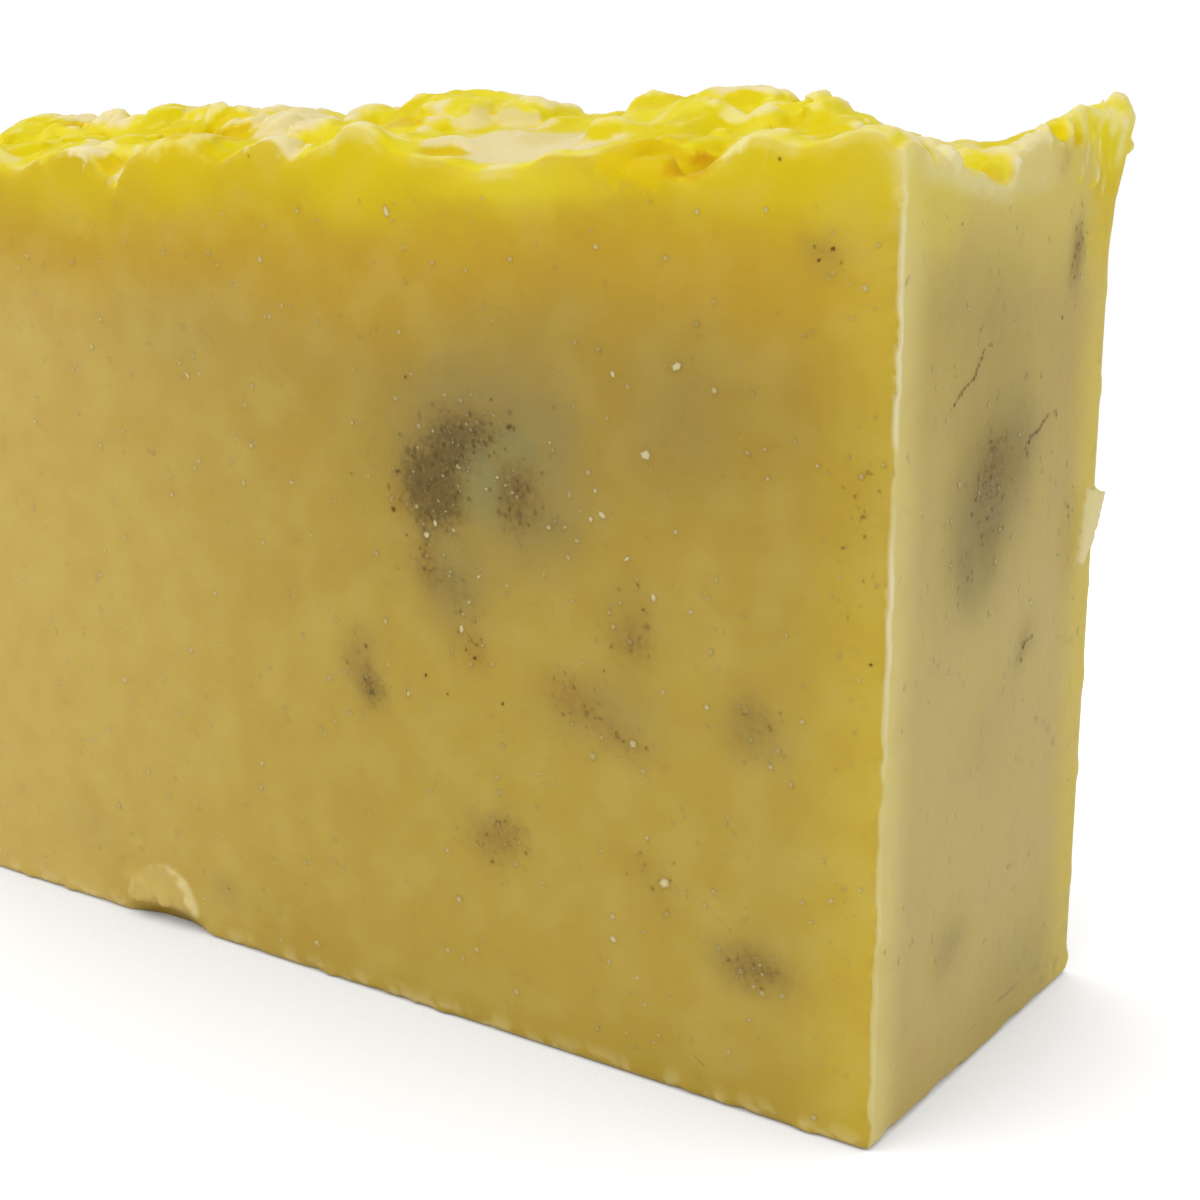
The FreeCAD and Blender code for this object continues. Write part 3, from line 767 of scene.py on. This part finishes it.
def crest_colours(points, normals, swell, crumb, grain, fine):
    """Vivid hollows whose deepest parts darken to amber as painted shade, yellow lumps and cream ridges,
    with the patches over them.
    """
    x, y, z = points.T
    patch = clouds(points, 4.2, SEED + 20)
    colours = blend(np.tile(np.array(VIVID, float), (len(points), 1)), LEMON, ramp(patch, -0.35, 0.25))
    colours = blend(colours, CREAM, ramp(patch + 0.3 * grain + 1.0 * swell, 0.32, 0.8))
    in_from_face = np.minimum(HALF_LENGTH - np.abs(x), HALF_THICKNESS - np.abs(y))
    shares = np.maximum(ramp(normals[:, 2], 0.1, 0.45), ramp(in_from_face, 0.15, 0.5))
    shares = shares * ramp(z, 50.8, 51.8)
    for colour, strength, from_end, from_front, height, a, b, c in PATCHES:
        on_face = from_front == 0.0 or from_end == 0.0
        stray = np.column_stack([grain * a, grain * b, fine * c]) * (0.12 if on_face else 0.25)
        share = nearness(points + stray, (from_end, from_front, height), (a, b, c))
        share = strength * (share if on_face else ramp(share, 0.0, 0.55))
        colours, shares = cover(colours, shares, colour, share)
    # Hollows turn vivid yellow; the deepest darken to amber, which is painted shade
    depth = swell + 0.05 * grain
    colours = blend(colours, VIVID, 0.8 * ramp(depth, -0.10, -0.32))
    colours = blend(colours, AMBER_SHADE, 0.8 * ramp(depth, -0.30, -0.62))
    ridge = ramp(swell + 0.9 * crumb + 0.10 * grain + 0.06 * fine, 0.16, 0.42)
    ridge *= 1.0 - ramp(nearness(points, GOLDEN_RIM, GOLDEN_RADII), 0.0, 0.4)
    return blend(colours, IVORY, 0.75 * ridge), shares


def dried_rims(points, crumb, grain, fine):
    """The rims, the fibres and the burr that dried white, each as a colour and its shares."""
    x, y, z = points.T
    from_end = HALF_LENGTH - x
    by_face = ramp(np.abs(y + HALF_THICKNESS), 0.9, 0.35) * ramp(z, 51.5, 52.2)
    sharp = 0.8 * ramp(crumb, 0.05, 0.13) * ramp(grain + 0.6 * fine, -0.75, 0.1)
    for start, stop, strength in WHITE_RIM:
        along = ramp(from_end, start - 0.4, start + 0.4) * ramp(from_end, stop + 0.4, stop - 0.4)
        yield WHITE, strength * by_face * sharp * along
    by_end = ramp(np.abs(x - HALF_LENGTH), 1.0, 0.4) * ramp(z, 51.0, 52.0) * ramp(crumb, 0.05, 0.13)
    by_end = by_end * ramp(y, 0.6 - HALF_THICKNESS, 2.0 - HALF_THICKNESS)
    yield WHITE, 0.7 * by_end * ramp(grain, -0.6, 0.3)

    # White fibres down the lip
    fibres = ramp(clouds(points * (1.0, 1.0, 0.16), 0.55, SEED + 24), 0.0, 0.45)
    on_lip = ramp(np.abs(y - 11.2), 4.2, 3.0) * ramp(x, HALF_LENGTH - 1.6, HALF_LENGTH - 0.6)
    yield IVORY, 0.7 * fibres * on_lip * ramp(z, 52.6, 54.0)

    # The knife's burr on the front upright edge, a broken white line
    line = np.hypot(x - HALF_LENGTH + 0.05, y + HALF_THICKNESS - 0.35)
    broken = ramp(clouds(points * (1.0, 1.0, 0.45), 1.1, SEED + 23), -0.45, 0.1)
    yield WHITE, (0.15 + 0.40 * ramp(z, 18.0, 34.0)) * ramp(line, 0.30, 0.08) * (0.15 + 0.85 * broken)


def cut_edges(points, grain, fine):
    """The rear upright edge, the bottom crumbs, the flake, the sliver and its tab, as dried_rims()."""
    x, y, z = points.T
    line = np.hypot(x - HALF_LENGTH, y - HALF_THICKNESS)
    yield EDGE, 0.6 * ramp(line, 1.1, 0.3) * ramp(z, 54.0, 50.0)
    low = ramp(z, 1.1, 0.5) * ramp(np.abs(y + HALF_THICKNESS), 0.9, 0.3) * ramp(grain + fine, 0.0, 0.8)
    beside_flake = x - (HALF_LENGTH - FLAKE_FROM_END)
    around = np.hypot(beside_flake, z - FLAKE_FOOT)
    raised = ramp(-y, HALF_THICKNESS - 0.05, HALF_THICKNESS + 0.1)
    raised = raised * ramp(around, FLAKE_RADIUS + 0.5, FLAKE_RADIUS)
    torn = ramp(around + 0.35 * fine + 0.16 * beside_flake, FLAKE_RADIUS - 0.25, FLAKE_RADIUS + 0.10)
    share = np.maximum(0.3 * low, raised * (0.12 + 0.5 * torn))
    sliver = ramp(x, HALF_LENGTH + 0.12, HALF_LENGTH + 0.3) * ramp(z, 27.5, 28.3) * ramp(z, 34.6, 33.8)
    sliver *= ramp(y, 9.5, 10.5)
    tab = ramp(y, HALF_THICKNESS + 0.2, HALF_THICKNESS + 0.5) * ramp(z, 38.0, 36.0)
    yield PALE, np.maximum(share, 0.85 * np.maximum(sliver, tab))
    share = 0.8 * ramp(z, 1.7, 0.5) * ramp(np.abs(beside_flake), 4.6, 2.6)
    share *= ramp(np.abs(y + HALF_THICKNESS), 2.4, 1.2)
    yield OLIVE, share


def crest_tint(points, normals, swell, crumb):
    """The colour that the crest, the rims and the burrs have, and how much of it shows."""
    grain = clouds(points, 1.3, SEED + 21)
    fine = clouds(points, 0.5, SEED + 22)
    colours, shares = crest_colours(points, normals, swell, crumb, grain, fine)
    for layers in (dried_rims(points, crumb, grain, fine), cut_edges(points, grain, fine)):
        for colour, share in layers:
            colours, shares = cover(colours, shares, colour, share)
    return colours, np.clip(shares, 0.0, 1.0)


def stain_and_shadow_shares(points):
    """How strongly haze, dark cores and rust stain the soap at some points; the rust share also carries the
    painted shadow beside the sliver.
    """
    stray = np.column_stack([clouds(points, 2.6, SEED + 30 + i) for i in range(3)]) * 0.55
    stray += np.column_stack([clouds(points, 0.9, SEED + 40 + i) for i in range(3)]) * 0.22
    moved = points + stray
    shares = np.zeros((len(points), 3))
    for kind, strength, middle, radii in stains_and_shadow():
        share = (moved - np.array(place(*middle))) / (SOFT_SPREAD * np.array(radii))
        fall = ramp(np.sqrt((share * share).sum(axis=1)), 1.0, 0.0)
        shares[:, kind] += strength * fall
    return np.clip(shares, 0.0, 1.4)


def linear(values):
    """Colours given as they look on screen, from 0 to 255, as linear values."""
    values = np.asarray(values, float) / 255.0
    return np.where(values <= 0.04045, values / 12.92, ((values + 0.055) / 1.055) ** 2.4)


def linked(name, data):
    """A new object in the scene."""
    item = bpy.data.objects.new(name, data)
    bpy.context.scene.collection.objects.link(item)
    return item


def make_soap():
    """The piece that is seen in place of the plain solid."""
    field = Field(frame["nodes"]["soap_bar"])
    for shape in (carve_crest, roughen_crest, pull_fibres, burr_edges, tear_flake, keep_in_box):
        shape(field)
    points, triangles, quads = field.mesh()
    faces = [tuple(face) for face in triangles.tolist() + quads.tolist()]
    mesh = bpy.data.meshes.new("soap")
    mesh.from_pydata((points / MM).tolist(), [], faces)
    mesh.flip_normals()
    refined(mesh)
    count = len(mesh.vertices)
    places = vectors(mesh.vertices, "co") * MM
    normals = vectors(mesh.vertex_normals, "vector")
    at = places / VOXEL - np.array(field.first, np.float32)
    swell = sampled(blurred(field.values, 4), at)
    crumb = sampled(blurred(field.values, 1), at)
    colours, shares = crest_tint(places, normals, swell, crumb)

    spot_points, spot_triangles, spot_tints = spot_mesh(count)
    work = bmesh.new()
    work.from_mesh(mesh)
    corners = {}
    for i, point in enumerate(spot_points):
        corners[count + i] = work.verts.new(point / MM)
    for triangle in spot_triangles:
        work.faces.new([corners[i] for i in triangle])
    work.to_mesh(mesh)
    work.free()
    everywhere = np.concatenate([places, spot_points])
    # Colours times their shares, so that nothing bleeds between points with and without tint
    tint = np.concatenate([linear(colours), linear(spot_tints[:, :3])])
    cover_share = np.concatenate([shares, spot_tints[:, 3]])[:, None]
    tint = np.column_stack([tint * cover_share, cover_share])
    stain_and_shadow = np.column_stack([stain_and_shadow_shares(everywhere), np.ones(len(everywhere))])
    for name, values in (("tint", tint), ("stain_and_shadow", stain_and_shadow)):
        layer = mesh.attributes.new(name, "FLOAT_COLOR", "POINT")
        layer.data.foreach_set("color", values.astype(np.float32).ravel())
    mesh.shade_smooth()
    return linked("soap", mesh)


# Material


class Nodes:
    """Short calls for building the node tree of a material or a world."""

    def __init__(self, owner):
        owner.use_nodes = True
        self.tree = owner.node_tree
        self.tree.nodes.clear()

    def new(self, kind, given={}, **settings):
        """A node with its settings and some of its inputs given."""
        node = self.tree.nodes.new(kind)
        for name, value in settings.items():
            setattr(node, name, value)
        for key, value in given.items():
            socket = node.inputs[key]
            if isinstance(value, bpy.types.NodeSocket):
                self.tree.links.new(value, socket)
            elif socket.type == "RGBA":
                socket.default_value = (*value, 1.0)
            else:
                socket.default_value = value
        return node

    def math(self, operation, a, b):
        return self.new("ShaderNodeMath", {0: a, 1: b}, operation=operation).outputs[0]

    def product(self, *factors):
        total = factors[0]
        for factor in factors[1:]:
            total = self.math("MULTIPLY", total, factor)
        return total

    def step(self, value, start, stop, low=0.0, high=1.0):
        """Maps start..stop to low..high with soft ends."""
        given = dict(enumerate((value, start, stop, low, high)))
        return self.new("ShaderNodeMapRange", given, interpolation_type="SMOOTHSTEP").outputs[0]

    def mix(self, share, a, b, kind="MIX"):
        given = {0: share, 6: a, 7: b}
        return self.new("ShaderNodeMix", given, data_type="RGBA", blend_type=kind).outputs[2]

    def noise(self, place, scale, rough, shift=0.0):
        """Soft noise around 0.5, with its scale in 1 / mm."""
        if shift:
            given = {0: place, 1: (shift, shift * 1.7, -shift)}
            place = self.new("ShaderNodeVectorMath", given, operation="ADD").outputs[0]
        given = {"Vector": place, "Scale": scale, "Detail": 1.0, "Roughness": rough}
        return self.new("ShaderNodeTexNoise", given).outputs["Fac"]

    def seen(self):
        """1 where the camera or a reflection looks, 0 for light on the bar."""
        path = self.new("ShaderNodeLightPath")
        return self.math("MAXIMUM", path.outputs["Is Camera Ray"], path.outputs["Is Glossy Ray"])


def rgb(colour):
    """A colour given as it looks on screen, as linear values for a socket."""
    return tuple(float(value) for value in linear(colour))


# Colours of the cut faces, each laid over those before it: what it follows, from and to, how much of
# it shows at most, and the colour. "height" and "crown" are heights in mm with wavy bounds. The two
# "crown" layers of the front face are painted glow of light shining through the thin crest
FRONT_FOOT = (164, 138, 46)
FRONT_LAYERS = [
    ("height", -4.0, 9.0, 1.0, (181, 154, 66)),
    ("height", 20.0, 42.0, 1.0, (168, 138, 54)),
    ("x", 14.0, -34.0, 1.0, (198, 169, 88)),
    # Painted glow: the top of the front face turns vivid yellow as if lit through the thin crest
    ("crown", 41.0, 49.5, 1.0, (190, 154, 44)),
    ("crown", 47.5, 54.0, 1.0, (209, 182, 20)),
]
BESIDE_EDGE = (202, 176, 58)
END_FOOT = (187, 166, 93)
END_LAYERS = [
    ("height", -4.0, 14.0, 1.0, (198, 177, 111)),
    ("height", 28.0, 44.0, 1.0, (191, 169, 96)),
    ("crown", 45.0, 53.0, 1.0, (214, 194, 102)),
    ("y", 8.5, 13.4, 1.0, (213, 191, 92)),
    ("y", -10.6, -14.2, 0.75, (222, 206, 130)),
]
BODY_LAYERS = [
    ("mottle", 0.42, 0.75, 0.12, (214, 194, 120)),
    ("mottle", 0.55, 0.25, 0.15, (178, 136, 40)),
    ("haze", -0.1, 1.05, 0.82, (147, 130, 76)),
]
# The rusty stains' colour, also that of the painted shadow beside the sliver
RUSTY_AND_SHADOW = (150, 110, 44)
DARK = (97, 79, 46)

# How light goes into the wax and comes back
WAX = {
    "IOR": 1.45,
    "Specular IOR Level": 0.1,
    "Subsurface Weight": 0.3,
    "Subsurface Radius": (1.0, 0.8, 0.12),
    "Subsurface Scale": 0.003,
}


def soap_material():
    """Translucent waxy soap: amber body; vivid yellow near the crest, on the front face a painted glow of
    light through the thin crest; pale ash on ridges and rims.
    """
    material = bpy.data.materials.new("soap")
    n = Nodes(material)
    coordinates = n.new("ShaderNodeTexCoord").outputs
    given = {0: coordinates["Object"], "Scale": MM}
    place_mm = n.new("ShaderNodeVectorMath", given, operation="SCALE").outputs[0]
    x, y, z = n.new("ShaderNodeSeparateXYZ", {0: place_mm}).outputs
    facing_end = n.new("ShaderNodeSeparateXYZ", {0: coordinates["Normal"]}).outputs[0]
    tint, stain_and_shadow = (n.new("ShaderNodeAttribute", attribute_name=name).outputs for name in ("tint", "stain_and_shadow"))
    haze, core, rust_and_shadow = n.new("ShaderNodeSeparateColor", {0: stain_and_shadow["Color"]}).outputs

    # Slow clouds shift every boundary, so that nothing ends in a straight line
    cloud = n.math("SUBTRACT", n.noise(place_mm, 0.075, 0.5), 0.5)
    mottle = n.noise(place_mm, 0.3, 0.5, shift=11.0)
    grain = n.noise(place_mm, 2.6, 0.7, shift=5.0)
    followed = {
        "x": x,
        "y": y,
        "height": n.math("ADD", z, n.product(cloud, 16.0)),
        "crown": n.math("ADD", z, n.product(cloud, 4.0)),
        "mottle": mottle,
        "haze": haze,
    }

    def laid(colour, layers):
        for name, start, stop, most, over in layers:
            colour = n.mix(n.step(followed[name], start, stop, 0.0, most), colour, rgb(over))
        return colour

    beside_edge = n.product(n.step(x, 34.5, 40.6), n.step(y, -12.0, -14.4), 0.6)
    front = n.mix(beside_edge, laid(rgb(FRONT_FOOT), FRONT_LAYERS), rgb(BESIDE_EDGE))
    end = laid(rgb(END_FOOT), END_LAYERS)
    body = n.mix(n.step(facing_end, 0.5, 0.85), front, end)
    body = laid(body, BODY_LAYERS)

    # Dark and rusty stains, grainy in themselves; the rusty share also holds the painted shadow beside the
    # sliver
    grainy = n.step(grain, 0.25, 0.75, 0.70, 1.28)
    body = n.mix(n.product(rust_and_shadow, grainy, 0.62), body, rgb(RUSTY_AND_SHADOW))
    body = n.mix(n.step(n.product(core, grainy), -0.15, 1.3, 0.0, 0.82), body, rgb(DARK))

    # The crest, the burrs and the spots bring their own colours
    body = n.mix(tint["Alpha"], body, (0.0, 0.0, 0.0))
    body = n.mix(1.0, body, tint["Color"], kind="ADD")

    bumps = {"Height": n.noise(place_mm, 0.9, 0.65, shift=3.0), "Strength": 0.2, "Distance": 0.0003}
    given = {
        "Base Color": body,
        "Roughness": n.step(mottle, 0.3, 0.7, 0.42, 0.58),
        "Normal": n.new("ShaderNodeBump", bumps).outputs[0],
        **WAX,
    }
    shader = n.new("ShaderNodeBsdfPrincipled", given, subsurface_method="BURLEY")
    n.new("ShaderNodeOutputMaterial", {0: shader.outputs[0]})
    return material


# Floor, light and camera

# The share of the lamps' light that the floor shows the camera, beside the open sky over it, its own
# colour for the light on the bar, and half its side in metres
FLOOR_SHARE = 0.40
FLOOR_PAPER = 0.9
FLOOR_HALF = 3.0

# How far the floor looks for open sky, and where it fades to plain white, as distances in metres
SKY_REACH = 0.3
FADE_FROM, FADE_TO = 0.12, 0.24

# The light of the sky on the bar, and the lamps: name, place, power
SKY_LIGHT = 0.62
LAMPS = [("key", (-0.25, -0.45, 0.6), 2.6), ("fill", (0.6, -0.2, 0.35), 0.8)]
LAMP_SIDE = 0.5
LAMP_AIM = (0.0, 0.0, 0.03)

# The photograph's view: place in metres, angle round to the near end and angle above, lens in mm
CAMERA_PLACE = (0.0826, -0.1001, 0.0535)
AZIMUTH = math.radians(35.0)
ELEVATION = math.radians(13.2)
LENS = 56.16
SENSOR = 36.0


def floor():
    """A white floor that keeps the bar's soft shadow: the lamps' real shadow, and painted shade from a glow
    that dims where ambient occlusion hides the sky.
    """
    mesh = bpy.data.meshes.new("floor")
    corners = [(FLOOR_HALF * x, FLOOR_HALF * y, 0.0) for x, y in ((-1, -1), (1, -1), (1, 1), (-1, 1))]
    mesh.from_pydata(corners, [], [(0, 1, 2, 3)])
    material = bpy.data.materials.new("floor")
    n = Nodes(material)
    place = n.new("ShaderNodeTexCoord").outputs["Object"]
    length = n.new("ShaderNodeVectorMath", {0: place}, operation="LENGTH").outputs["Value"]
    seen = n.seen()
    colour = n.mix(seen, (FLOOR_PAPER,) * 3, (FLOOR_SHARE,) * 3)
    paper = n.new("ShaderNodeBsdfDiffuse", {"Color": colour})
    # For the camera the floor glows as much as it sees open sky, which paints shade beside the bar
    open_sky = n.new("ShaderNodeAmbientOcclusion", {"Distance": SKY_REACH}, samples=4)
    glow = n.new("ShaderNodeEmission", {"Strength": n.product(seen, open_sky.outputs["AO"])})
    lit = n.new("ShaderNodeAddShader", {0: paper.outputs[0], 1: glow.outputs[0]})
    white = n.new("ShaderNodeEmission")
    share = n.product(seen, n.step(length, FADE_FROM, FADE_TO))
    mixed = n.new("ShaderNodeMixShader", {0: share, 1: lit.outputs[0], 2: white.outputs[0]})
    n.new("ShaderNodeOutputMaterial", {0: mixed.outputs[0]})
    mesh.materials.append(material)
    linked("floor", mesh)


def world():
    """White to the camera, and an even soft light on the bar."""
    made = bpy.data.worlds.new("studio")
    bpy.context.scene.world = made
    n = Nodes(made)
    given = {"Color": (1.0, 1.0, 1.0), "Strength": n.step(n.seen(), 0.0, 1.0, SKY_LIGHT, 1.0)}
    background = n.new("ShaderNodeBackground", given)
    n.new("ShaderNodeOutputWorld", {0: background.outputs[0]})


def lamp(name, place_m, power):
    """A square soft lamp, aimed at the bar."""
    data = bpy.data.lights.new(name, "AREA")
    data.size = LAMP_SIDE
    data.energy = power
    item = linked(name, data)
    item.location = place_m
    item.rotation_euler = (Vector(LAMP_AIM) - Vector(place_m)).to_track_quat("-Z", "Y").to_euler()


def camera():
    """The photograph's view, from a little above and round to the near end."""
    forward = Vector((
        -math.sin(AZIMUTH) * math.cos(ELEVATION),
        math.cos(AZIMUTH) * math.cos(ELEVATION),
        -math.sin(ELEVATION),
    ))
    data = bpy.data.cameras.new("camera")
    data.lens = LENS
    data.sensor_width = SENSOR
    data.clip_start = 0.01
    item = linked("camera", data)
    item.location = CAMERA_PLACE
    item.rotation_euler = forward.to_track_quat("-Z", "Y").to_euler()
    bpy.context.scene.camera = item


soap = make_soap()
soap.data.materials.append(soap_material())
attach(soap, "root")
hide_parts("soap_bar")

floor()
world()
for row in LAMPS:
    lamp(*row)
camera()
bpy.context.scene.view_settings.view_transform = "Standard"
